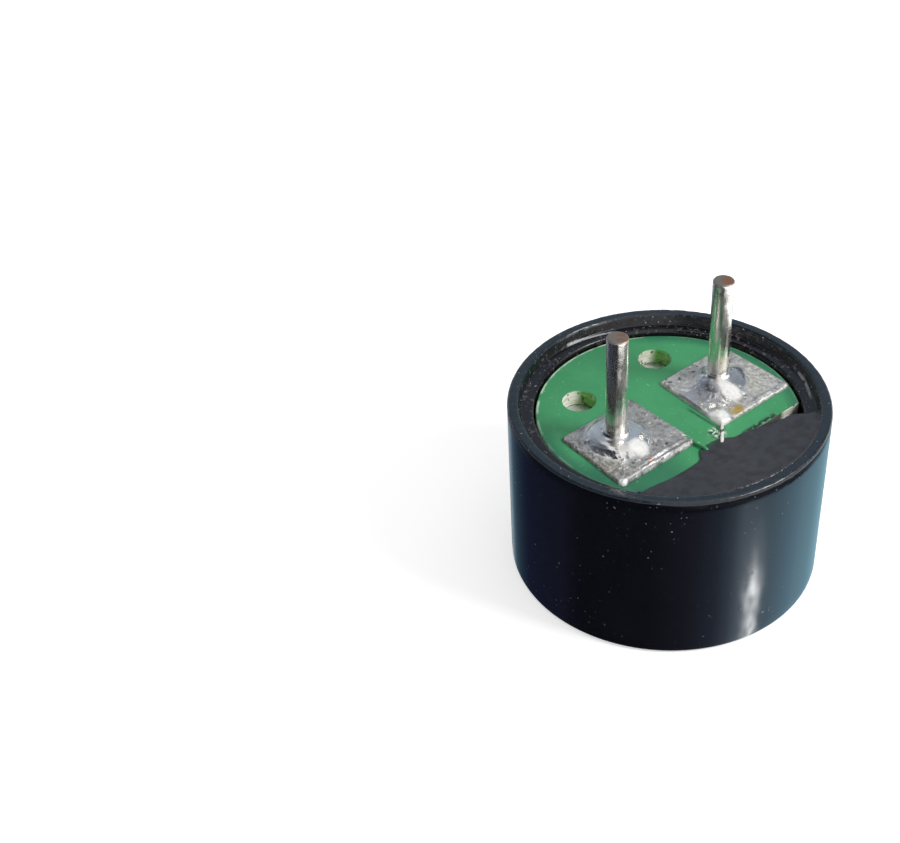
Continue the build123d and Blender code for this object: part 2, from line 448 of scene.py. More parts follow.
# The flag, by azimuth: top, how far its roof reaches past the middle, then the tone
flag_marks = {
    100: (96, -59, 0.10, 0.12, 0.15), 145: (96, -59, 0.36, 0.42, 0.50), 215: (96, -59, 0.36, 0.42, 0.50),
    245: (160, -20, 0.08, 0.09, 0.11), 270: (200, 10, 0.02, 0.022, 0.03), 345: (200, 20, 0.03, 0.033, 0.04),
}
FLAG_RADIUS, FLAG_FOOT = 60, 13
flag_rows = []
for azimuth in range(min(flag_marks), max(flag_marks) + 1, CARD_STEP):
    top, past, *tone = between(flag_marks, azimuth)
    bends = ((FLAG_RADIUS, FLAG_FOOT), (FLAG_RADIUS, top), (-past, top))
    flag_rows.append([(around(azimuth, radius, height), tone) for radius, height in bends])
card("dark_flag", flag_rows)

# %% [markdown]
# ## Turning a profile with Geometry Nodes
#
# The case, the pins and the coil are all turned shapes: one outline, swept round the axis. A Geometry Nodes
# tree states that rule once. It lays out a grid with one row for each outline point and one column for each
# step of the turn, looks up the outline point of each row, and bends the columns round the axis. A little
# random wear can be pushed into the surface above a chosen height.

# %% Build the turning tree
CLOSENESS, WEAR_EASE = 0.0005, 0.1


def new_group(name, sockets):
    """A Geometry Nodes tree with named inputs, and those inputs as fields."""
    tree = bpy.data.node_groups.new(name, "GeometryNodeTree")
    tree.interface.new_socket("Shape", in_out="OUTPUT", socket_type="NodeSocketGeometry")
    for label, kind in sockets.items():
        tree.interface.new_socket(label, in_out="INPUT", socket_type="NodeSocket" + kind)
    return tree, {socket.name: Field(socket) for socket in tree.nodes.new("NodeGroupInput").outputs}


def end_group(tree, shape, finish):
    """Smooth the shape, make it real, give it its material, and hand it out."""
    smooth = put(tree, "GeometryNodeSetShadeSmooth", {0: shape})
    real = put(tree, "GeometryNodeRealizeInstances", {0: smooth})
    dressed = put(tree, "GeometryNodeSetMaterial", {"Geometry": real, "Material": finish})
    put(tree, "NodeGroupOutput", {0: dressed})


def turning_tree():
    """Sweep the points of the incoming mesh, taken as an outline in XZ, round the Z axis."""
    tree, given = new_group("turn_a_profile", {
        "Profile": "Geometry", "Steps": "Int", "Closed": "Int", "Wear": "Float", "Wear Size": "Float",
        "Wear Above": "Float", "Seed": "Float", "Finish": "Material"})
    count = put(tree, "GeometryNodeAttributeDomainSize", {0: given["Profile"]}, "Point Count")
    rows, columns = count + given["Closed"], given["Steps"] + 1.0
    grid = put(tree, "GeometryNodeMeshGrid", {"Vertices X": columns, "Vertices Y": rows})
    index = put(tree, "GeometryNodeInputIndex", {})
    position = put(tree, "GeometryNodeInputPosition", {})
    angle = calc("FLOOR", (index + 0.5) / rows) / (given["Steps"] / (2 * math.pi))
    lookup = {"Geometry": given["Profile"], "Value": position, "Index": index % rows % count}
    point = put(tree, "GeometryNodeSampleIndex", lookup, data_type="FLOAT_VECTOR", domain="POINT")
    across, _, up = split(point)
    place = join(across * calc("COSINE", angle), across * calc("SINE", angle), up)
    bent = put(tree, "GeometryNodeSetPosition", {"Geometry": grid, "Position": place})
    merged = put(tree, "GeometryNodeMergeByDistance", {"Geometry": bent, "Distance": CLOSENESS})
    rough = mottle(position, given["Wear Size"], seed=given["Seed"])
    near_top = ramp(split(position)[2], given["Wear Above"], given["Wear Above"] + WEAR_EASE)
    push = ramp(rough, 0.42, 0.75, 0.0, -1.0) * near_top * given["Wear"]
    normal = put(tree, "GeometryNodeInputNormal", {})
    offset = put(tree, "ShaderNodeVectorMath", {0: normal, "Scale": push}, operation="SCALE")
    worn = put(tree, "GeometryNodeSetPosition", {"Geometry": merged, "Offset": offset})
    end_group(tree, worn, given["Finish"])
    return tree


turn_a_profile = turning_tree()
print("turning tree with", len(turn_a_profile.nodes), "nodes")

# %% [markdown]
# ## Outlines, and pieces that ride on the frame
#
# An outline is a list of corners, each with the radius of its round. The first helper draws the rounds as
# arcs and splits long runs, so that wear and shading have points to work with. Every mesh is made in
# millimetres, its doubles are merged and its faces turned outwards. Then it is scaled into the frame, and
# rides there in place of the plain solid.

# %% Outline and piece helpers
def rounded(corners, longest=0.25, arc_steps=6):
    """Points of a closed outline from (across, up, round) corners."""
    points = []
    for index, (across, up, size) in enumerate(corners):
        here = Vector((across, up))
        before = (Vector(corners[index - 1][:2]) - here).normalized()
        after = (Vector(corners[(index + 1) % len(corners)][:2]) - here).normalized()
        if size == 0:
            points.append(here)
            continue
        half = before.angle(after) / 2
        centre = here + (before + after).normalized() * size / math.sin(half)
        start = here + before * size / math.tan(half) - centre
        end = here + after * size / math.tan(half) - centre
        first = math.atan2(start.y, start.x)
        sweep = (math.atan2(end.y, end.x) - first + math.pi) % (2 * math.pi) - math.pi
        for step in range(arc_steps + 1):
            angle = first + sweep * step / arc_steps
            points.append(centre + Vector((math.cos(angle), math.sin(angle))) * size)
    dense = []
    for here, ahead in zip(points, points[1:] + points[:1]):
        parts = max(1, math.ceil((ahead - here).length / longest))
        dense += [here.lerp(ahead, part / parts) for part in range(parts)]
    return dense


def clean_mesh(mesh):
    """Merge doubles, drop empty faces, and turn the faces outwards."""
    work = bmesh.new()
    work.from_mesh(mesh)
    bmesh.ops.remove_doubles(work, verts=work.verts, dist=CLOSENESS)
    bmesh.ops.dissolve_degenerate(work, edges=work.edges, dist=CLOSENESS / 10)
    bmesh.ops.recalc_face_normals(work, faces=work.faces)
    work.to_mesh(mesh)
    work.free()


def settle(name, mesh, slot, *nodes):
    """Scale a mesh in millimetres into the frame, as a piece that stands for some nodes."""
    mesh.transform(Matrix.Scale(MM, 4))
    piece = stand(name, mesh)
    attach(piece, "root")
    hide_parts(*nodes)
    print(name, "has", len(mesh.polygons), "faces")


def plain_mesh(holder):
    """The finished mesh of an object that is only there to make it."""
    graph = bpy.context.evaluated_depsgraph_get()
    mesh = bpy.data.meshes.new_from_object(holder.evaluated_get(graph), depsgraph=graph)
    bpy.data.objects.remove(holder)
    return mesh


def grow(tree, points, **inputs):
    """Run a Geometry Nodes tree on some points and keep the result as a plain mesh."""
    plan = bpy.data.meshes.new("plan")
    plan.from_pydata(points, [(step, step + 1) for step in range(len(points) - 1)], [])
    holder = stand("plan", plan)
    maker = holder.modifiers.new("grow", "NODES")
    maker.node_group = tree
    for label, value in inputs.items():
        socket = tree.interface.items_tree[label.replace("_", " ").title()]
        maker[socket.identifier] = value
    mesh = plain_mesh(holder)
    clean_mesh(mesh)
    return mesh


print("piece helpers ready")

# %% [markdown]
# ## Black moulded plastic
#
# The case is glossy on its side and sand-textured on its sound face, as it leaves the mould. Handling has
# left fine scratches round the wall and pale dust. The top of the rim is scuffed, and its flat top is tinted
# bluish grey as a painted reflection. The ledge inside it holds brown crumbs and pale flecks. On the ledge
# at the back left a pale streak is a painted highlight, with a painted highlight line on the mouth's edge
# above it, and a weaker pale streak lies on the ledge at the right. The finish works out where it is from
# the Object coordinates: the angle round the axis lays the scratches along the wall, and the height picks
# the sound face. A pale round mark with a plus on that face shows which pin is positive.

# %% The case's finish
def new_finish(name):
    """A material, its main shader, and Object coordinates in millimetres."""
    finish, tree = new_material(name)
    metres = put(tree, "ShaderNodeTexCoord", {}, "Object")
    place = put(tree, "ShaderNodeVectorMath", {0: metres, "Scale": 1 / MM}, operation="SCALE")
    return finish, tree.nodes["Principled BSDF"], place


def connect(shader, **sockets):
    """Link fields, or set values, on the main shader."""
    for label, value in sockets.items():
        fill(shader.inputs[label.replace("_", " ").title().replace("Ior", "IOR")], value)


def relief(shader, height, depth):
    """Bump of a depth in millimetres."""
    bump = put(height.tree, "ShaderNodeBump", {"Height": height, "Distance": depth * MM})
    fill(shader.inputs["Normal"], bump)


MARK_X, MARK_RADIUS, MARK_BAR, MARK_ARM, MARK_BLUR = 2.75, 0.75, 0.12, 0.46, 0.02
# Pale streaks on the ledge, the first a painted highlight: angle, half length, distance from the axis, drift
# outwards, strength
LEDGE_STREAKS = [(1.40, 0.24, 4.05, 0.3, 0.8), (-0.46, 0.22, 4.08, 0.35, 0.32)]
# A painted highlight line on the mouth's edge: angle, distance from the axis
EDGE_GLINT_ANGLE, EDGE_GLINT_RADIUS = 1.40, mouth_radius + 0.02
PLASTIC_DARK, PLASTIC_PALE = (0.0030, 0.0034, 0.0060), (0.0052, 0.0058, 0.0090)
SLATE_DARK, SLATE_PALE, MARK_GREY = (0.010, 0.012, 0.016), (0.036, 0.042, 0.052), (0.42, 0.43, 0.44)
STREAK_PALE, DUST_GREY, LAND_REFLECTION_BLUE = (0.62, 0.63, 0.64), (0.16, 0.17, 0.18), (0.012, 0.021, 0.031)
CRUMB_BROWN, FLECK_GREY = (0.085, 0.070, 0.072), (0.40, 0.38, 0.39)


def polarity_mark(x, y):
    """1 on the pale disc of the mark, 0 outside it and on its plus."""
    across, along = abs(x - MARK_X), abs(y)
    sizes = {MARK_RADIUS: distance(across, along), MARK_BAR: calc("MINIMUM", across, along),
             MARK_ARM: larger(across, along)}
    disc, bar, arm = (fade(value, size - MARK_BLUR, size + MARK_BLUR) for size, value in sizes.items())
    return disc * (1.0 - bar * arm)


def case_finish():
    finish, shader, place = new_finish("black_moulded_plastic")
    x, y, z = split(place)
    angle, away = calc("ARCTAN2", y, x), distance(x, y)
    scratches = mottle(join(angle * 1.6, z * 16.0, 0.0), 1.0, 3.0, 4.0)
    sand = mottle(place, 0.07, 3.0, 2.0)
    sound_face = fade(z, 0.03, 0.12)
    plastic = blend(mottle(place, 1.4, 2.0, 7.0), PLASTIC_DARK, PLASTIC_PALE)
    colour = blend(sound_face, plastic, blend(sand, SLATE_DARK, SLATE_PALE))
    mark = polarity_mark(x, y) * sound_face * ramp(sand, 0.25, 0.5, 0.55, 1.0)
    # Painted highlights: the first streak on the ledge and the line on the mouth's edge; the second streak is
    # only pale
    streak = 0.0
    for streak_angle, half, radius, drift, strength in LEDGE_STREAKS:
        turned = angle - streak_angle
        beside = abs(away - (radius + turned * drift))
        ledge_streak = ramp(abs(turned), half - 0.1, half, strength, 0.0) * fade(beside, 0.025, 0.050)
        streak = larger(streak, ledge_streak)
    streak = streak * fade(abs(z - ledge_z), 0.05, 0.09)
    edge_glint = fade(abs(away - EDGE_GLINT_RADIUS), 0.02, 0.05) * fade(abs(angle - EDGE_GLINT_ANGLE), 0.15, 0.32)
    edge_glint = edge_glint * ramp(z, case_height - 0.12, case_height - 0.06)
    streak = larger(streak, edge_glint) * ramp(mottle(place, 0.25, 2.0, 17.0), 0.32, 0.46)
    dust = ramp(mottle(place, 0.09, 1.0, 11.0), 0.70, 0.76) * ramp(mottle(place, 0.9, 1.0, 12.0), 0.45, 0.65)
    inner_side = fade(away, mouth_radius, mouth_radius + 0.05) * ramp(z, ledge_z - 0.4, ledge_z)
    # The rim's flat top is tinted bluish: a painted reflection.
    land = ramp(z, case_height - 0.09, case_height - 0.03)
    rim = larger(inner_side, land)
    crumbs = ramp(mottle(place, 0.13, 2.0, 41.0), 0.60, 0.66, 0.0, 0.9) * inner_side
    flecks = ramp(mottle(place, 0.10, 1.0, 44.0), 0.71, 0.75) * rim
    colour = paint(colour, (mark, MARK_GREY), (streak, STREAK_PALE), (dust, DUST_GREY), (land, LAND_REFLECTION_BLUE),
                   (crumbs, CRUMB_BROWN), (flecks, FLECK_GREY))
    scuff = mottle(place, 0.16, 3.0, 15.0)
    gloss = ramp(scratches, 0.3, 0.75, 0.10, 0.20) + rim * ramp(scuff, 0.4, 0.7, 0.0, 0.22)
    dull = larger(sound_face * 0.62, dust * 0.7)
    connect(shader, base_color=colour, roughness=larger(gloss, dull))
    relief(shader, scratches * 0.03 + sand * sound_face + scuff * rim * 0.35 + dust * 0.5, 0.02)
    return finish


black_plastic = case_finish()
print("case finish with", len(black_plastic.node_tree.nodes), "nodes")

# %% [markdown]
# ## Case
#
# The cup is one moulding: sound hole and front wall, a shelf for the steel disc, a shelf for the yoke
# plate, and at the top a narrow ledge inside the rim. Its profile has the corners of the real one with
# their small rounds, because a round edge is what catches the light. The turning tree sweeps it and wears
# the rim a little.

# %% Turn the case
RIM_WEAR_DEPTH = 0.10
pocket_radius = bore_radius - plate_seat_width
cavity_radius = pocket_radius - diaphragm_seat_width
case_corners = [
    (sound_hole_radius, 0, 0.06), (case_radius, 0, 0.15), (case_radius, case_height, 0.10),
    (mouth_radius, case_height, 0.08), (ledge_radius, ledge_z, 0.05), (bore_radius, ledge_z, 0.09),
    (bore_radius, plate_bottom, 0), (pocket_radius, plate_bottom, 0), (pocket_radius, diaphragm_seat, 0),
    (cavity_radius, diaphragm_seat, 0), (cavity_radius, front_wall, 0.05),
    (sound_hole_radius, front_wall, 0.03),
]
case_profile = [(point.x, 0, point.y) for point in rounded(case_corners, 0.3)]
case_mesh = grow(turn_a_profile, case_profile, steps=420, closed=1, wear=0.012, wear_size=0.2,
                 wear_above=case_height - RIM_WEAR_DEPTH, seed=3.0, finish=black_plastic)
settle("moulded_case", case_mesh, "case_plastic", "case")

# %% [markdown]
# ## Circuit board
#
# The board is a disc of glass fibre with a green lacquer on top, one straight side, two open holes and two
# holes for the pins. Painted shade darkens the lacquer towards the edge, except at the back left, where it is
# chipped pale along the edge and the pale chips also stand in for a painted highlight. By the wires it is
# torn, and along the right part of the straight side dark flakes stand in for the painted shadow of the gap
# by the resin. A darker line runs beside the right pad's left edge, and a painted shade spot darkens the
# front left. A flat curve with holes in it, filled and thickened, gives clean edges with a small break. The
# cut edges show the pale fibre, with some lacquer run into the drilled holes on the side away from the
# light, where it is also painted shade, and painted shade along part of the straight edge, so they get a
# second material.

# %% The board's finishes
SHADE_SPOT, PAD_LINE_X, TORN_SPOT = (-2.9, -1.7, 2.0), 0.46, (0.27, -1.63, 0.30)
GLINT_EDGE_ANGLE, GAP_SHADOW_FROM, GAP_SHADOW_TO = 0.25, (0.5, 0.9), (1.9, 2.3)
GREEN_DARK, GREEN_PALE, GREEN_WEAVE = (0.040, 0.285, 0.105), (0.052, 0.340, 0.130), (0.085, 0.370, 0.175)
GREEN_EDGE_SHADE, GREEN_CHIP_GLINT, GREEN_SHADE = (0.014, 0.135, 0.070), (0.56, 0.80, 0.56), (0.018, 0.150, 0.080)
GREEN_LINE, GREEN_SPECK = (0.012, 0.090, 0.040), (0.30, 0.62, 0.42)
FLAKE_AND_SHADOW_DARK, FLAKE_PALE = (0.012, 0.030, 0.014), (0.90, 0.91, 0.84)


def lacquer_finish():
    finish, shader, place = new_finish("green_lacquer")
    x, y, _ = split(place)
    away, angle = distance(x, y), calc("ARCTAN2", x * -1.0, y)
    weave = mottle(place, 0.16, 2.0, 5.0)
    green = blend(ramp(mottle(place, 1.3, 3.0, 3.0), 0.3, 0.7), GREEN_DARK, GREEN_PALE)
    glint_side = fade(abs(angle - GLINT_EDGE_ANGLE), 0.55, 1.0)
    # Painted shade darkens the lacquer towards the edge, less at the back left.
    edge_shade = ramp(away, board_radius - 0.5, board_radius - 0.05) * (0.75 - glint_side)
    # Pale chips along the edge at the back left, which also stand in for a painted highlight on the board's
    # edge.
    chips_and_glint = ramp(away + weave * 0.09, board_radius - 0.05, board_radius - 0.01, 0.0, 0.85)
    chips_and_glint = chips_and_glint * ramp(mottle(place, 0.5, 2.0, 23.0), 0.36, 0.52) * larger(glint_side, 0.15)
    # A darker green line beside the right pad's left edge.
    pad_line = ramp(abs(x - PAD_LINE_X), 0.03, 0.06, 0.8, 0.0) * fade(y, -0.5, -0.2) * ramp(y, -1.5, -1.45)
    specks = ramp(mottle(place, 0.07, 1.0, 13.0), 0.70, 0.75, 0.0, 0.6)
    torn, flakes = spot(x, y, *TORN_SPOT), mottle(place, 0.13, 2.0, 19.0)
    # Along the right part of the straight side, dark flakes are the painted shadow of the gap by the resin.
    gap_shadow = fade(y, board_flat_y + 0.08, board_flat_y + 0.20) * ramp(x, *GAP_SHADOW_FROM) * fade(x, *GAP_SHADOW_TO)
    dark = larger(torn * ramp(flakes, 0.48, 0.42), gap_shadow * ramp(flakes, 0.58, 0.50))
    colour = paint(green, (ramp(weave, 0.55, 0.8, 0.0, 0.35), GREEN_WEAVE), (edge_shade, GREEN_EDGE_SHADE),
                   (chips_and_glint, GREEN_CHIP_GLINT), (spot(x, y, *SHADE_SPOT) * 0.75, GREEN_SHADE),
                   (pad_line, GREEN_LINE), (specks, GREEN_SPECK), (dark, FLAKE_AND_SHADOW_DARK),
                   (torn * ramp(flakes, 0.52, 0.56), FLAKE_PALE))
    connect(shader, base_color=colour, roughness=ramp(weave, 0.3, 0.7, 0.28, 0.46))
    relief(shader, weave, 0.006)
    return finish


DRILLED_RADIUS, DRILLED_INSET, DRILLED_ANGLE = 0.475, 1.18, math.radians(53.4)
hole_reach = board_radius - DRILLED_INSET
hole_x, hole_y = hole_reach * math.cos(DRILLED_ANGLE), hole_reach * math.sin(DRILLED_ANGLE)
RUN_IN_SHADE_X, RUN_IN_SHADE_Y, RUN_IN_SHADE_RADIUS, RUN_IN_SHADE_GREEN = 0.46, 0.02, 0.52, (0.10, 0.34, 0.05)
FIBRE_DARK, FIBRE_PALE = (0.66, 0.69, 0.50), (0.92, 0.92, 0.86)
FIBRE_SHADED, FIBRE_TORN = (0.020, 0.028, 0.022), (0.05, 0.07, 0.03)


def fibre_finish():
    finish, shader, place = new_finish("cut_glass_fibre")
    x, y, z = split(place)
    layers = mottle(join(x, y, z * 6.0), 0.35, 3.0, 2.0)
    colour = blend(ramp(layers, 0.35, 0.6), FIBRE_DARK, FIBRE_PALE)
    # Lacquer run into each hole on the side away from the light, which is also painted shade on that wall.
    for side in (-1, 1):
        run_in_and_shade = spot(x, y, side * hole_x + RUN_IN_SHADE_X, hole_y + RUN_IN_SHADE_Y, RUN_IN_SHADE_RADIUS)
        colour = blend(run_in_and_shade * ramp(layers, 0.3, 0.5, 0.7, 1.0), colour, RUN_IN_SHADE_GREEN)
    shaded = fade(y, board_flat_y + 0.01, board_flat_y + 0.03) * ramp(x, 2.2, 2.4, 0.9, 0.0)
    torn = ramp(mottle(place, 0.13, 1.0, 7.0), 0.62, 0.68, 0.0, 0.9)
    colour = paint(colour, (shaded, FIBRE_SHADED), (torn, FIBRE_TORN))
    connect(shader, base_color=colour, roughness=ramp(layers, 0.3, 0.7, 0.35, 0.7))
    relief(shader, layers, 0.02)
    return finish


green_lacquer, cut_fibre = lacquer_finish(), fibre_finish()
print("board finishes ready")

# %% Cut the board
BOARD_BREAK, BREAK_STEPS, BOARD_STEPS, UPRIGHT = 0.035, 2, 144, 0.3
PIN_HOLE_RADIUS = pin_radius + 0.03
NOTCH_X, NOTCH_HALF, NOTCH_DEPTH = -0.25, 0.4, 0.35


def ring_points(radius, x=0.0, y=0.0, count=72):
    """Points round a circle."""
    angles = [step * 2 * math.pi / count for step in range(count)]
    return [Vector((x + radius * math.cos(angle), y + radius * math.sin(angle))) for angle in angles]


def board_outline():
    """The round board with its straight side and the notch for the coil's wires."""
    end = math.asin(board_flat_y / board_radius)
    angles = [end + (math.pi - 2 * end) * step / BOARD_STEPS for step in range(BOARD_STEPS + 1)]
    points = [Vector((board_radius * math.cos(angle), board_radius * math.sin(angle))) for angle in angles]
    notch = [(-NOTCH_HALF, 0), (-NOTCH_HALF, NOTCH_DEPTH), (NOTCH_HALF, NOTCH_DEPTH), (NOTCH_HALF, 0)]
    return points + [Vector((NOTCH_X + x, board_flat_y + y)) for x, y in notch]


def flat_plate(outlines, low, high, edge_break):
    """A plate with holes: a filled flat curve, thickened between two heights."""
    plan = bpy.data.curves.new("plate", "CURVE")
    plan.dimensions, plan.fill_mode = "2D", "BOTH"
    plan.extrude, plan.bevel_depth = (high - low) / 2 - edge_break, edge_break
    plan.offset, plan.bevel_resolution = -edge_break, BREAK_STEPS
    for outline in outlines:
        spline = plan.splines.new("POLY")
        spline.points.add(len(outline) - 1)
        for point, place in zip(spline.points, outline):
            point.co = (place.x, place.y, 0, 1)
        spline.use_cyclic_u = True
    mesh = plain_mesh(stand("plate", plan))
    mesh.transform(Matrix.Translation((0, 0, (high + low) / 2)))
    clean_mesh(mesh)
    return mesh


board_holes = [ring_points(DRILLED_RADIUS, side * hole_x, hole_y) for side in (-1, 1)]
board_holes += [ring_points(PIN_HOLE_RADIUS, side * pin_x) for side in (-1, 1)]
board_mesh = flat_plate([board_outline()] + board_holes, board_bottom, board_top, BOARD_BREAK)
for finish in (green_lacquer, cut_fibre):
    board_mesh.materials.append(finish)
for face in board_mesh.polygons:
    face.material_index = 1 if abs(face.normal.z) < UPRIGHT else 0
settle("green_board", board_mesh, "board", "circuit_board")

# %% [markdown]
# ## Pins
#
# Each pin is a length of tinned copper wire, snipped at the end. The tin is creamy, slightly satin and
# streaked along the wire, and the cut shows copper where the tin was not smeared over it. The turning tree
# makes the bar, standing open at its axis, and the streaks come from noise that is stretched along the
# height.

# %% The pins' finish
BARE_SPOT, BARE_COPPER = (0.10, -0.10, 0.26), (0.46, 0.20, 0.11)
TIN_DARK, TIN_PALE = (0.80, 0.77, 0.69), (0.99, 0.97, 0.92)
TIN_GRAIN, TIN_SMEAR, TIN_METAL = (0.26, 0.24, 0.20), (0.34, 0.29, 0.24), 0.96


def tin_finish():
    finish, shader, place = new_finish("tinned_wire")
    x, y, z = split(place)
    local_x = x - calc("SIGN", x) * pin_x
    angle = calc("ARCTAN2", y, local_x)
    streaks = mottle(join(calc("COSINE", angle), calc("SINE", angle), z * 0.35), 0.3, 3.0, 2.0)
    grain = mottle(place, 0.12, 3.0, 5.0)
    tin = blend(ramp(streaks, 0.35, 0.65), TIN_DARK, TIN_PALE)
    end_face = ramp(z, pin_top - 0.05, pin_top - 0.02)
    bare = spot(local_x, y, *BARE_SPOT) * ramp(grain, 0.40, 0.52)
    cut = ramp(z, pin_top - 0.10, pin_top - 0.03) * bare
    colour = paint(tin, (ramp(grain, 0.60, 0.72, 0.0, 0.5), TIN_GRAIN), (end_face, TIN_SMEAR),
                   (cut, BARE_COPPER))
    rough = ramp(streaks, 0.3, 0.7, 0.15, 0.26) + end_face * 0.2
    connect(shader, base_color=colour, metallic=TIN_METAL, roughness=rough)
    relief(shader, streaks + grain, 0.0035)
    return finish


tinned = tin_finish()
print("pin finish ready")

# %% Turn the pins
PIN_BREAK = 0.04
SIDES = ((-1, "left"), (1, "right"))
pin_ends = (pin_top, board_bottom)
pin_corners = [(0, pin_top, 0), (pin_radius, pin_top, PIN_BREAK), (pin_radius, board_bottom, 0),
               (0, board_bottom, 0)]
pin_outline = rounded(pin_corners, 0.06, 4)
pin_profile = [(point.x, 0, point.y) for point in pin_outline if point.x > 0 or point.y in pin_ends]
pin_profile.reverse()
for side, label in SIDES:
    pin_mesh = grow(turn_a_profile, pin_profile, steps=72, closed=0, wear=0.006, wear_size=0.25,
                    wear_above=climb_top, seed=5.0 + side, finish=tinned)
    pin_mesh.transform(Matrix.Translation((side * pin_x, 0, 0)))
    settle("tinned_pin_" + label, pin_mesh, "pin_metal", "pin_" + label)

# %% [markdown]
# ## Solder
#
# Each pad is covered by solder that was melted on by hand. It lies flat over the pad, climbs the pin in a
# hollow curve, sets in lumps, pits and ridges, and runs a little past the pad's front edges. Where it is
# raised it is bright. The flat parts have a dull sandy skin, the white spots on the front slopes of both
# joints are painted highlights, and the right joint also has a still puddle and a yellow patch of flux. The
# mesh runs in rings from the pin to the edge of the pad. Its height follows the plain joint's curve first,
# and lumps listed by place and size are added on top.

# %% The solder's finish
# Spots on the board: place, radius, stretch along Y
FLUX_SPOT, COPPER_SPOT = (1.35, -1.34, 0.32, 0.7), (-2.0, -1.36, 0.09)
STILL_SPOT, PUDDLE_SPOT = (1.15, -0.35, 0.95), (1.28, -0.24, 0.42, 1.9)
CREAM_SPOTS = [(2.9, -0.6, 1.0), (-2.9, -0.4, 0.9)]
# Painted highlights on the front slopes of the joints: place, radius
HIGHLIGHT_SPOTS = [(0.74, -1.27, 0.40), (1.76, -0.82, 0.34), (-1.93, -0.84, 0.36), (-3.16, -1.48, 0.16)]
SILVER_DARK, SILVER_PALE, PUDDLE_GREY = (0.60, 0.60, 0.60), (0.88, 0.87, 0.84), (0.38, 0.39, 0.43)
SKIN_DARK, SKIN_PALE, SKIN_GRAIN = (0.20, 0.20, 0.205), (0.50, 0.50, 0.48), (0.74, 0.73, 0.68)
CREAM_DARK, CREAM_PALE, RIGHT_PALE = (0.30, 0.28, 0.24), (0.72, 0.70, 0.63), (0.80, 0.79, 0.74)
PIT_DARK, SPARKLE, WHITE_CRUST_AND_HIGHLIGHT = (0.06, 0.06, 0.065), (0.93, 0.93, 0.92), (0.90, 0.89, 0.87)
COPPER_RED, FLUX_YELLOW = (0.62, 0.24, 0.10), (0.46, 0.33, 0.08)
SOLDER_THICKNESS, PAD_ROUND, PAD_SHIFT = 0.1, 0.12, 0.13
solder_top = board_top + SOLDER_THICKNESS


def solder_finish():
    finish, shader, place = new_finish("hand_solder")
    x, y, z = split(place)
    patches, grain = mottle(place, 0.45, 3.0, 2.0), mottle(place, 0.05, 3.0, 6.0)
    crust, sand = mottle(place, 0.15, 4.0, 9.0), mottle(place, 0.10, 2.0, 31.0)
    still, puddle = spot(x, y, *STILL_SPOT), spot(x, y, *PUDDLE_SPOT)
    bright = larger(ramp(z, solder_top + 0.02, solder_top + 0.09), still * 0.75)
    dull = (1.0 - bright) * ramp(patches, 0.35, 0.55, 0.6, 1.0)
    silver = blend(ramp(patches, 0.3, 0.7), SILVER_DARK, SILVER_PALE)
    silver = blend(puddle * ramp(crust, 0.40, 0.50, 0.6, 1.0), silver, PUDDLE_GREY)
    skin = blend(ramp(crust, 0.36, 0.60), SKIN_DARK, SKIN_PALE)
    cream = blend(ramp(sand, 0.40, 0.60), CREAM_DARK, CREAM_PALE)
    pits = ramp(mottle(place, 0.20, 1.0, 21.0), 0.64, 0.70, 0.0, 0.85)
    sparkles = ramp(mottle(place, 0.12, 1.0, 24.0), 0.66, 0.72)
    skin = paint(skin, *[(spot(x, y, *cream_spot) * 0.85, cream) for cream_spot in CREAM_SPOTS],
                 (ramp(grain, 0.5, 0.7, 0.0, 0.6), SKIN_GRAIN), (ramp(x, -0.3, 0.3, 0.28, 0.0), PIT_DARK),
                 (ramp(x, -0.3, 0.3, 0.0, 0.18), RIGHT_PALE), (pits, PIT_DARK), (sparkles, SPARKLE))
    copper = spot(x, y, *COPPER_SPOT) * ramp(grain, 0.4, 0.6)
    flux = spot(x, y, *FLUX_SPOT) * ramp(crust, 0.36, 0.48)
    white = puddle * ramp(grain, 0.62, 0.68)
    # The spots below are painted highlights, laid over the white grains in the puddle.
    for highlight_spot in HIGHLIGHT_SPOTS:
        white = larger(white, spot(x, y, *highlight_spot))
    white = white * ramp(crust, 0.26, 0.38)
    colour = paint(silver, (dull, skin), (copper, COPPER_RED), (flux, FLUX_YELLOW), (white, WHITE_CRUST_AND_HIGHLIGHT))
    plain = larger(larger(dull * 0.6, flux * 0.7), white * 0.9)
    rough = ramp(patches, 0.3, 0.7, 0.30, 0.16) + dull * 0.22 + puddle * 0.22
    connect(shader, base_color=colour, metallic=1.0 - plain, roughness=rough)
    relief(shader, grain * (dull * 0.4 + 0.05) + (crust - pits) * dull, 0.03)
    return finish


solder_metal = solder_finish()
print("solder finish ready")

# %% The solder's shape
# The climb up each pin: distance from the pin's axis, height above the pad's solder
CLIMBS = {
    "left": [(0.28, 0.34), (0.36, 0.335), (0.41, 0.275), (0.47, 0.250), (0.56, 0.240), (0.63, 0.220),
             (0.72, 0.170), (0.82, 0.100), (0.92, 0.045), (1.02, 0.012), (1.10, 0.0)],
    "right": [(0.28, 0.34), (0.35, 0.32), (0.40, 0.225), (0.46, 0.155), (0.54, 0.095), (0.62, 0.050),
              (0.70, 0.020), (0.80, 0.0)],
}
# The climb on the front side of each pin, where the solder stands in a steeper heap
FRONT_CLIMBS = {
    "left": [(0.28, 0.34), (0.36, 0.335), (0.41, 0.275), (0.48, 0.255), (0.58, 0.245), (0.66, 0.225),
             (0.76, 0.175), (0.86, 0.110), (0.96, 0.050), (1.06, 0.015), (1.16, 0.0)],
    "right": [(0.28, 0.34), (0.36, 0.33), (0.42, 0.275), (0.50, 0.245), (0.58, 0.21), (0.68, 0.15),
              (0.78, 0.085), (0.88, 0.03), (0.96, 0.005), (1.02, 0.0)],
}
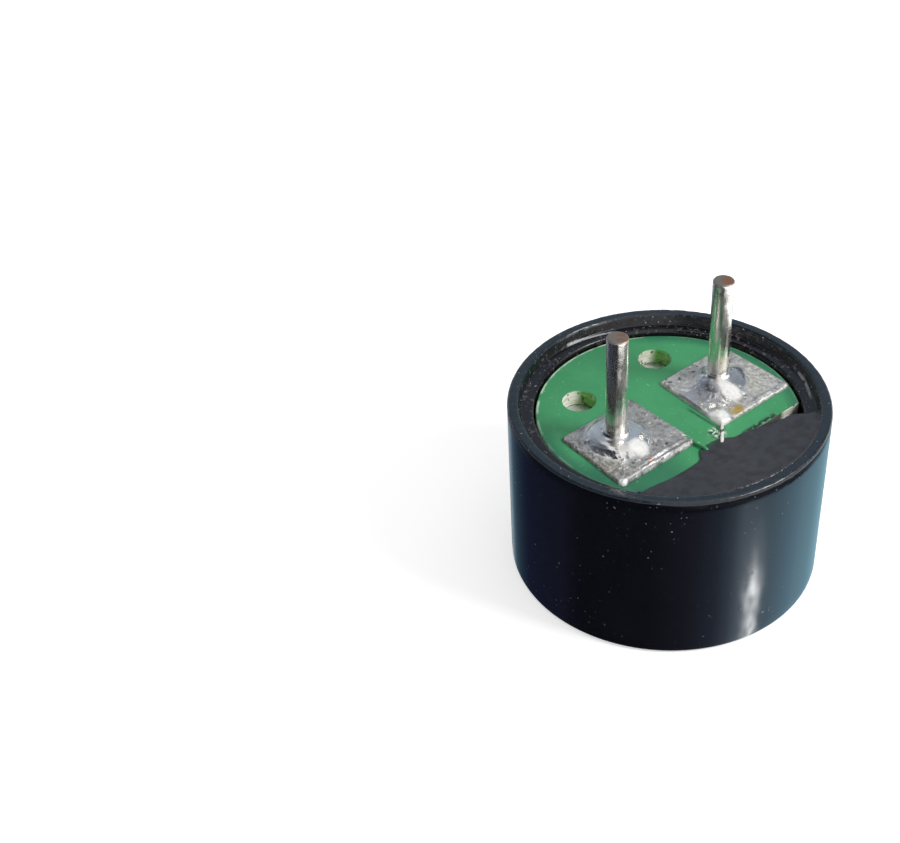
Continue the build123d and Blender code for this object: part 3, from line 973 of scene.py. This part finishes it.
# Lumps and pits: place, half length, half width, turn in degrees, height
LUMPS = {
    "left": [
        (-1.90, -1.37, 1.20, 0.050, 0, 0.090), (-1.50, -1.20, 0.90, 0.045, 1, 0.070),
        (-1.27, -0.78, 0.09, 0.07, 0, -0.070), (-1.05, -0.01, 0.08, 0.06, 0, -0.050),
        (-0.84, -0.13, 0.07, 0.06, 0, -0.040), (-1.15, 0.23, 0.14, 0.08, -30, -0.045),
        (-2.76, 0.39, 0.09, 0.07, 0, 0.050), (-2.50, -0.80, 0.30, 0.20, 40, 0.060),
        (-0.75, -0.70, 0.25, 0.12, 40, 0.035), (-2.85, -0.75, 0.30, 0.10, -60, -0.030),
    ],
    "right": [
        (1.24, -0.25, 0.55, 0.20, -71, -0.040), (1.90, -0.78, 0.22, 0.14, 0, 0.050),
        (0.85, -1.22, 0.36, 0.20, 32, 0.090), (2.63, -0.15, 0.16, 0.10, 70, 0.040),
        (1.24, -0.42, 0.05, 0.04, 0, 0.030), (0.74, 0.65, 0.10, 0.05, 60, 0.035),
        (2.95, -0.60, 0.35, 0.30, 0, -0.020), (2.45, -1.30, 0.60, 0.05, 0, 0.030),
        (0.78, -0.20, 0.05, 0.60, 0, 0.025),
    ],
}
# Ripples over the whole joint: height, size, seed
RIPPLES = [(0.030, 0.45, 3.0), (0.018, 0.14, 8.0)]
PAD_EDGE_ROUND, CALM_EDGE, CALM_CLIMB, THINNEST, FRONT_SHARPNESS = 0.09, 0.10, 0.25, 0.012, 1.4
pad_middle = ((pad_low.x + pad_high.x) / 2 - PAD_SHIFT, (pad_low.y + pad_high.y) / 2)
pad_half = ((pad_high.x - pad_low.x) / 2, (pad_high.y - pad_low.y) / 2)


def pad_inset(x, y, side):
    """Distance inside the pad's rounded outline."""
    out_x = np.abs(x - PAD_SHIFT - side * pad_middle[0]) - pad_half[0] + PAD_ROUND
    out_y = np.abs(y - pad_middle[1]) - pad_half[1] + PAD_ROUND
    corner = np.hypot(np.maximum(out_x, 0), np.maximum(out_y, 0))
    return PAD_ROUND - corner - np.minimum(np.maximum(out_x, out_y), 0)


def lumpy(x, y, size, seed, octaves=3):
    """Smooth random heights between about -1 and 1."""
    places = [Vector((a / size, b / size, seed)) for a, b in zip(x.ravel(), y.ravel())]
    return np.array([noise.fractal(place, 1.0, 2.0, octaves) for place in places]).reshape(x.shape)


def eased(share):
    """A share kept between 0 and 1, with a soft start and end."""
    share = np.clip(share, 0, 1)
    return share ** 2 * (3 - 2 * share)


def quarter_round(share):
    """Height of a quarter circle, from 0 at its foot to 1."""
    return np.sqrt(1 - (1 - np.clip(share, 0, 1)) ** 2)


def solder_height(x, y, side, label):
    """Top of the solder above the board at each place."""
    inset = np.clip(pad_inset(x, y, side), 0, None)
    slab = SOLDER_THICKNESS * quarter_round(inset / PAD_EDGE_ROUND)
    away = np.hypot(x - side * pin_x, y)
    front = eased(0.5 - FRONT_SHARPNESS * y / np.maximum(away, 0.01))
    back_climb, front_climb = (np.interp(away, *zip(*climbs[label])) for climbs in (CLIMBS, FRONT_CLIMBS))
    climb = (1 - front) * back_climb + front * front_climb
    lumps = np.zeros_like(x)
    for lump_x, lump_y, long, wide, turn, high in LUMPS[label]:
        cos, sin = math.cos(math.radians(turn)), math.sin(math.radians(turn))
        along, across = (x - lump_x) * cos + (y - lump_y) * sin, (y - lump_y) * cos - (x - lump_x) * sin
        lumps += high * np.exp(-(along / long) ** 2 - (across / wide) ** 2)
    ripple = sum(high * lumpy(x, y, size, seed + side) for high, size, seed in RIPPLES)
    settled = np.clip(inset / CALM_EDGE, 0, 1) * (1 - np.clip(climb / CALM_CLIMB, 0, 1))
    return np.clip(slab + climb + (lumps + ripple) * settled, THINNEST, climb_top - board_top)


print(sum(len(lumps) for lumps in LUMPS.values()), "lumps and pits on two joints")

# %% Heap the solder on the pads
RUN_FORWARD, RUN_LEFT, RUN_START, RUN_EASE = 0.11, 0.15, 0.6, 0.6
RING_SPACING, PIN_OVERLAP = 1.15, 0.02


def shell(name, x, y, z, finish, ring):
    """A closed shell from rows of points, the last joined to the first. Rows are rings, or end in caps."""
    index = np.arange(x.size).reshape(x.shape)
    here = np.hstack([index, index[:, :1]]) if ring else index
    below = np.roll(here, -1, axis=0)
    faces = np.stack([here[:, :-1], here[:, 1:], below[:, 1:], below[:, :-1]], axis=-1)
    faces = faces.reshape(-1, 4).tolist()
    if not ring:
        faces += [index[:, 0].tolist(), index[::-1, -1].tolist()]
    mesh = bpy.data.meshes.new(name)
    mesh.from_pydata(np.stack([x, y, z], axis=-1).reshape(-1, 3).tolist(), [], faces)
    mesh.materials.append(finish)
    clean_mesh(mesh)
    mesh.shade_smooth()
    return mesh


def solder_mesh(side, label, rings=100):
    """Rings from the pin to the pad's edge, closed underneath."""
    middle_x = PAD_SHIFT + side * pad_middle[0]
    corners = [(middle_x + a * pad_half[0], pad_middle[1] + b * pad_half[1], PAD_ROUND) for a, b in SQUARE]
    outline = rounded(corners, 0.035, 8)
    rim = np.array([(point.x - side * pin_x, point.y) for point in outline])
    reach = np.hypot(rim[:, 0], rim[:, 1])
    unit = rim / reach[:, None]
    share = np.linspace(0, 1, rings)[:, None] ** RING_SPACING
    radius = pin_radius - PIN_OVERLAP + (reach[None, :] - pin_radius + PIN_OVERLAP) * share
    x, y = side * pin_x + radius * unit[None, :, 0], radius * unit[None, :, 1]
    z = board_top + solder_height(x, y, side, label)
    from_pin = np.clip((np.hypot(x - side * pin_x, y) - RUN_START) / RUN_EASE, 0, 1)
    forward = np.clip(0.5 - (y - pad_middle[1]) / pad_half[1] / 2, 0, 1) * from_pin
    leftward = np.clip(0.5 - (x - PAD_SHIFT - side * pad_middle[0]) / pad_half[0] / 2, 0, 1) * forward
    x, y = x - RUN_LEFT * leftward, y - RUN_FORWARD * forward
    x, y = (np.vstack([part[:1], part, part[-1:]]) for part in (x, y))
    floor_row = np.full((1, len(outline)), board_top)
    return shell("solder", x, y, np.vstack([floor_row, z, floor_row]), solder_metal, ring=True)


for side, label in SIDES:
    settle("solder_joint_" + label, solder_mesh(side, label), "solder", "solder_" + label)

# %% [markdown]
# ## Coil wires
#
# The two ends of the coil's winding come up through the notch in the board's straight side and run to the
# inner corners of the pads. Above the board they are painted over with lacquer, which has flaked off in
# places. A Geometry Nodes tree draws a wire along any path: it turns the points into a smooth curve, spaces
# it evenly, and sweeps a circle along it.

# %% The wire's finish and tree
COPPER_DARK, COPPER_PALE, WIRE_BARE = (0.45, 0.16, 0.06), (0.78, 0.36, 0.17), (0.84, 0.83, 0.79)
LACQUER_LEFT, LACQUER_RIGHT, LEFT_TO_RIGHT = (0.046, 0.305, 0.115), (0.016, 0.060, 0.028), (-0.45, 0.0)


def wire_finish():
    finish, shader, place = new_finish("enamelled_copper_wire")
    x, _, z = split(place)
    drawn = mottle(place, 0.08, 2.0, 3.0)
    above = ramp(z, board_top - 0.05, board_top)
    lacquered = blend(ramp(x, *LEFT_TO_RIGHT), LACQUER_LEFT, LACQUER_RIGHT)
    colour = blend(above, blend(drawn, COPPER_DARK, COPPER_PALE), lacquered)
    flakes = mottle(place, 0.15, 1.0, 6.0) + ramp(x, *LEFT_TO_RIGHT, -0.10, 0.08)
    colour = blend(above * ramp(flakes, 0.48, 0.56), colour, WIRE_BARE)
    connect(shader, base_color=colour, metallic=1.0 - above, roughness=ramp(drawn, 0.3, 0.7, 0.15, 0.35))
    relief(shader, drawn, 0.006)
    return finish


def wire_tree():
    """Sweep a round section along the incoming line."""
    tree, given = new_group("wire_on_a_path", {
        "Path": "Geometry", "Radius": "Float", "Stations": "Int", "Sides": "Int", "Finish": "Material"})
    line = put(tree, "GeometryNodeMeshToCurve", {0: given["Path"]})
    bent = put(tree, "GeometryNodeCurveSplineType", {0: line}, spline_type="CATMULL_ROM")
    even = put(tree, "GeometryNodeResampleCurve", {"Curve": bent, "Count": given["Stations"]})
    circle = {"Resolution": given["Sides"], "Radius": given["Radius"]}
    section = put(tree, "GeometryNodeCurvePrimitiveCircle", circle, mode="RADIUS")
    sweep = {"Curve": even, "Profile Curve": section, "Fill Caps": True}
    end_group(tree, put(tree, "GeometryNodeCurveToMesh", sweep), given["Finish"])
    return tree


copper_wire, wire_on_a_path = wire_finish(), wire_tree()
print("wire tree with", len(wire_on_a_path.nodes), "nodes")

# %% Run the two wires
WIRE_RADIUS, RISE_SHARES, RUN_SHARES = 0.05, (0, 0.5, 0.92), (0.12, 0.45, 0.75, 1)
for side, label in SIDES:
    low, high = box_mm("coil_lead_" + label)
    near_x, far_x = (low.x + WIRE_RADIUS, high.x - WIRE_RADIUS)[::side]
    run_z = high.z - WIRE_RADIUS
    rise = Vector((near_x, low.y + WIRE_RADIUS, low.z))
    over = Vector((near_x, low.y + WIRE_RADIUS, run_z))
    end = Vector((far_x, high.y - WIRE_RADIUS, run_z))
    path = [rise.lerp(over, share) for share in RISE_SHARES] + [over.lerp(end, share) for share in RUN_SHARES]
    wire_mesh = grow(wire_on_a_path, [tuple(point) for point in path], radius=WIRE_RADIUS, stations=60,
                     sides=16, finish=copper_wire)
    settle("coil_wire_" + label, wire_mesh, "copper_wire", "coil_lead_" + label)

# %% [markdown]
# ## Sealing resin
#
# Black resin was poured along the board's straight side. It laps over the board in an uneven edge, slopes
# up to the rim, and set with a blotchy satin skin. On the right it climbs the mouth's wall, and a glossy
# bead runs along the wall. The mesh is a grid between the edge on the board and the wall of the mouth, with
# a soft edge on the board. Hidden rows below close it against the board and the bore.

# %% The resin's finish
RESIN_DARK, RESIN_PALE, RESIN_BLOTCH = (0.034, 0.037, 0.045), (0.048, 0.052, 0.063), (0.026, 0.026, 0.029)
THIN_GREEN, RESIN_SHINE = (0.020, 0.110, 0.050), 0.3


def resin_finish():
    finish, shader, place = new_finish("black_sealing_resin")
    x, y, z = split(place)
    skin, grain = mottle(place, 0.9, 3.0, 4.0), mottle(place, 0.06, 2.0, 8.0)
    blotches = ramp(mottle(place, 0.30, 3.0, 27.0), 0.40, 0.64, 0.0, 0.8)
    on_board = ramp(y, board_flat_y - 0.1, board_flat_y + 0.02)
    thin = ramp(z, board_top + 0.02, board_top + 0.07, 0.8, 0.0) * on_board
    colour = paint(blend(skin, RESIN_DARK, RESIN_PALE), (blotches, RESIN_BLOTCH), (thin, THIN_GREEN))
    bead = ramp(distance(x, y), mouth_radius - 0.14, mouth_radius - 0.05)
    rough = ramp(skin, 0.3, 0.7, 0.42, 0.55) - bead * 0.28
    connect(shader, base_color=colour, roughness=rough, specular_ior_level=RESIN_SHINE)
    relief(shader, grain * 0.3 + skin, 0.012)
    return finish


sealing_resin = resin_finish()
print("resin finish ready")

# %% The resin's edges
RESIN_LAP, RESIN_FEATHER, RESIN_RIM_DROP, RESIN_SLOPE_SHARE = 0.15, 0.02, 0.04, 3.1
RESIN_OVERLAP, RESIN_CLIMB_START, RESIN_CLIMB_RUN = 0.06, math.radians(-135), math.radians(35)
LEDGE_BLEND, RAG_SIZE, RAG_SEED = 0.12, 0.13, 6.0
# How ragged the edge on the board is: places along X, heights there
RAG = ([-0.8, 0.4], [0.006, 0.03])
# The edge on the board: shares of the bore's radius along X, shares of the lap along Y
RESIN_EDGE_SHARES = [
    (-1.20, 1.3), (-0.78, 1.1), (-0.64, 0.7), (-0.54, 0.3), (-0.44, 0.2), (-0.33, 0.2), (-0.25, 0.5),
    (-0.21, 1.6), (-0.17, 2.5), (-0.09, 2.7), (-0.01, 2.6), (0.05, 2.1), (0.11, 0.8), (0.17, 0.5),
    (0.25, 0.2), (0.34, -0.6), (0.43, -1.6), (0.51, -1.8), (0.60, -2.2), (0.66, -3.9), (0.73, -5.8),
    (0.86, -11.5),
]


def smooth_line(points, parts=40):
    """A smooth line through points."""
    points = [2 * points[0] - points[1]] + points + [2 * points[-1] - points[-2]]
    line = []
    for a, b, c, d in zip(points, points[1:], points[2:], points[3:]):
        square, cube = 2 * a - 5 * b + 4 * c - d, 3 * b - a - 3 * c + d
        for part in range(parts):
            t = part / parts
            line.append(0.5 * (2 * b + (c - a) * t + square * t ** 2 + cube * t ** 3))
    return np.array(line)


def resin_plane(y):
    """Height of the resin's slope at a distance along Y."""
    start = board_flat_y + RESIN_SLOPE_SHARE * RESIN_LAP
    low, high = board_top + RESIN_FEATHER, case_height - RESIN_RIM_DROP
    return low + (high - low) * np.clip((start - y) / (start + mouth_radius), 0, 1)


def mouth_reach(y):
    """Radius of the wall that the resin runs out to: the bore low down, the mouth above the ledge."""
    above = eased((resin_plane(y) - ledge_z + LEDGE_BLEND / 2) / LEDGE_BLEND)
    taper = mouth_taper * np.clip((resin_plane(y) - ledge_z) / mouth_depth, 0, 1)
    return bore_radius + (ledge_radius + taper + RESIN_OVERLAP - bore_radius) * above


def resin_edges(across):
    """The edge on the board, the edge at the wall, the wall's angles, and the share of the climb there."""
    edge = smooth_line([np.array((share * bore_radius, board_flat_y + lap * RESIN_LAP))
                        for share, lap in RESIN_EDGE_SHARES])
    edge = edge[np.hypot(edge[:, 0], edge[:, 1]) < mouth_reach(edge[:, 1])]
    length = np.concatenate([[0], np.cumsum(np.hypot(*np.diff(edge, axis=0).T))])
    even = np.linspace(0, length[-1], across)
    inner = np.stack([np.interp(even, length, edge[:, 0]), np.interp(even, length, edge[:, 1])])
    inner[1] += np.interp(inner[0], *RAG) * lumpy(inner[0], inner[1], RAG_SIZE, RAG_SEED)
    first, last = math.atan2(edge[0, 1], edge[0, 0]), math.atan2(edge[-1, 1], edge[-1, 0])
    angle = np.linspace(first, last, across)
    climbs = eased((angle - RESIN_CLIMB_START) / RESIN_CLIMB_RUN)
    reach = mouth_reach(np.sin(angle) * ledge_radius)
    reach = reach + (mouth_radius + RESIN_OVERLAP - reach) * climbs
    return inner, np.stack([reach * np.cos(angle), reach * np.sin(angle)]), angle, climbs


print("resin edge through", len(RESIN_EDGE_SHARES), "points")

# %% Pour the resin
BEAD_HEIGHT, BEAD_LUMPS, BEAD_PLACE, BEAD_WIDTH, BEAD_LIMIT = 0.055, 0.040, 0.06, 0.035, 0.03
CLIMB_WIDTH, SWELL, LEDGE_EASE, BOARD_GAP = 0.3, 0.012, 0.05, 0.005
# How soft the edge on the board is: places along X, widths there
FEATHERS = ([-1.0, 0.2], [0.30, 0.08])


def resin_mesh(across=300, deep=70):
    """A grid from the edge on the board to the wall, closed underneath."""
    inner, outer, angle, climbs = resin_edges(across)
    share = (0.5 - 0.5 * np.cos(np.linspace(0, math.pi, deep)))[:, None]
    x, y = inner[0] + (outer[0] - inner[0]) * share, inner[1] + (outer[1] - inner[1]) * share
    from_edge = np.hypot(x - inner[0], y - inner[1])
    from_wall = np.hypot(x - outer[0], y - outer[1])
    bead = BEAD_HEIGHT + BEAD_LUMPS * lumpy(outer[0], outer[1], 0.22, 9.0)
    bead = bead * np.exp(-((from_wall - BEAD_PLACE) / BEAD_WIDTH) ** 2)
    climb = climbs * (case_height - RESIN_RIM_DROP - resin_plane(y)) * np.exp(-from_wall / CLIMB_WIDTH)
    slope = resin_plane(y) + climb + SWELL * lumpy(x, y, 0.9, 2.0) + bead
    on_ledge = np.clip((np.hypot(x, y) - bore_radius) / LEDGE_EASE, 0, 1)
    slope = np.maximum(slope, board_top + RESIN_FEATHER + (ledge_z - board_top) * on_ledge)
    rounding = quarter_round(from_edge / np.interp(inner[0], *FEATHERS))
    z = np.minimum(board_top + (slope - board_top) * rounding, case_height + BEAD_LIMIT)
    flat = (inner[0], np.minimum(inner[1], board_flat_y - BOARD_GAP))
    bore = (bore_radius * np.cos(angle), bore_radius * np.sin(angle))
    under = [(bore, ledge_z), (bore, board_bottom), (flat, board_bottom), (flat, board_top)]
    rows = list(zip(x, y, z)) + [(*line, np.full(across, height)) for line, height in under]
    return shell("resin", *(np.array(part) for part in zip(*rows)), sealing_resin, ring=False)


settle("poured_resin", resin_mesh(), "resin", "sealing_resin")

# %% [markdown]
# ## Inside the case
#
# The sounder itself is seen only through the holes: grey iron below the board, and the steel disc behind
# the sound hole. Its solids already have the right shape, so they stay and only get a finish. The coil is
# the exception, because a winding is rows of wire: its profile gets one scallop for each turn.

# %% Finish the inner pieces
def metal_finish(name, dark, pale, rough, size, depth):
    finish, shader, place = new_finish(name)
    patches = mottle(place, size, 4.0, 2.0)
    colour = blend(ramp(patches, 0.3, 0.7), dark, pale)
    connect(shader, base_color=colour, metallic=1.0, roughness=ramp(patches, 0.3, 0.7, *rough))
    relief(shader, patches, depth)
    return finish


def dress(finish, *nodes):
    """Give carried-over nodes a finish."""
    for node in nodes:
        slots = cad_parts[node].data.materials
        slots.clear()
        slots.append(finish)
    print(finish.name, "on", ", ".join(nodes))


# Each metal: dark and pale colour, range of roughness, size of its patches, depth of its relief
iron = ((0.60, 0.60, 0.60), (0.84, 0.83, 0.82), (0.4, 0.6), 0.12, 0.01)
steel = ((0.40, 0.41, 0.42), (0.58, 0.58, 0.57), (0.22, 0.36), 0.3, 0.004)
ferrite = ((0.03, 0.03, 0.032), (0.07, 0.07, 0.072), (0.5, 0.7), 0.08, 0.02)
dress(metal_finish("plain_iron", *iron), "core", "yoke_plate", "armature_disc")
dress(metal_finish("rolled_steel", *steel), "diaphragm")
dress(metal_finish("sintered_ferrite", *ferrite), "ring_magnet")

# %% Wind the coil
COIL_INNER_RADIUS, TURN_PITCH, SCALLOP_STEPS = 0.8, 0.1, 6
coil_low, coil_high = box_mm("coil")
turns_high = round((coil_high.z - coil_low.z) / TURN_PITCH)
pitch = (coil_high.z - coil_low.z) / turns_high
coil_profile = [(COIL_INNER_RADIUS, 0, coil_low.z)]
for row in range(turns_high):
    middle = coil_low.z + pitch * (row + 0.5)
    for step in range(SCALLOP_STEPS + 1):
        angle = math.pi * (step / SCALLOP_STEPS - 0.5)
        across = coil_high.x - pitch / 2 + pitch / 2 * math.cos(angle)
        coil_profile.append((across, 0, middle + pitch / 2 * math.sin(angle)))
coil_profile.append((COIL_INNER_RADIUS, 0, coil_high.z))
coil_mesh = grow(turn_a_profile, coil_profile, steps=120, closed=1, wear=0.0, wear_size=1.0, wear_above=100.0,
                 seed=1.0, finish=copper_wire)
settle("wound_coil", coil_mesh, "copper_wire", "coil")

# %% [markdown]
# ## Last look at the size
#
# The finish may not change the object's size. The box of the finished pieces is printed, in millimetres.

# %% Write the sizes and finish
scene.view_settings.view_transform = "Standard"
low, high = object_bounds()
print("finished box", [round(side / MM, 3) for side in high - low], "mm")
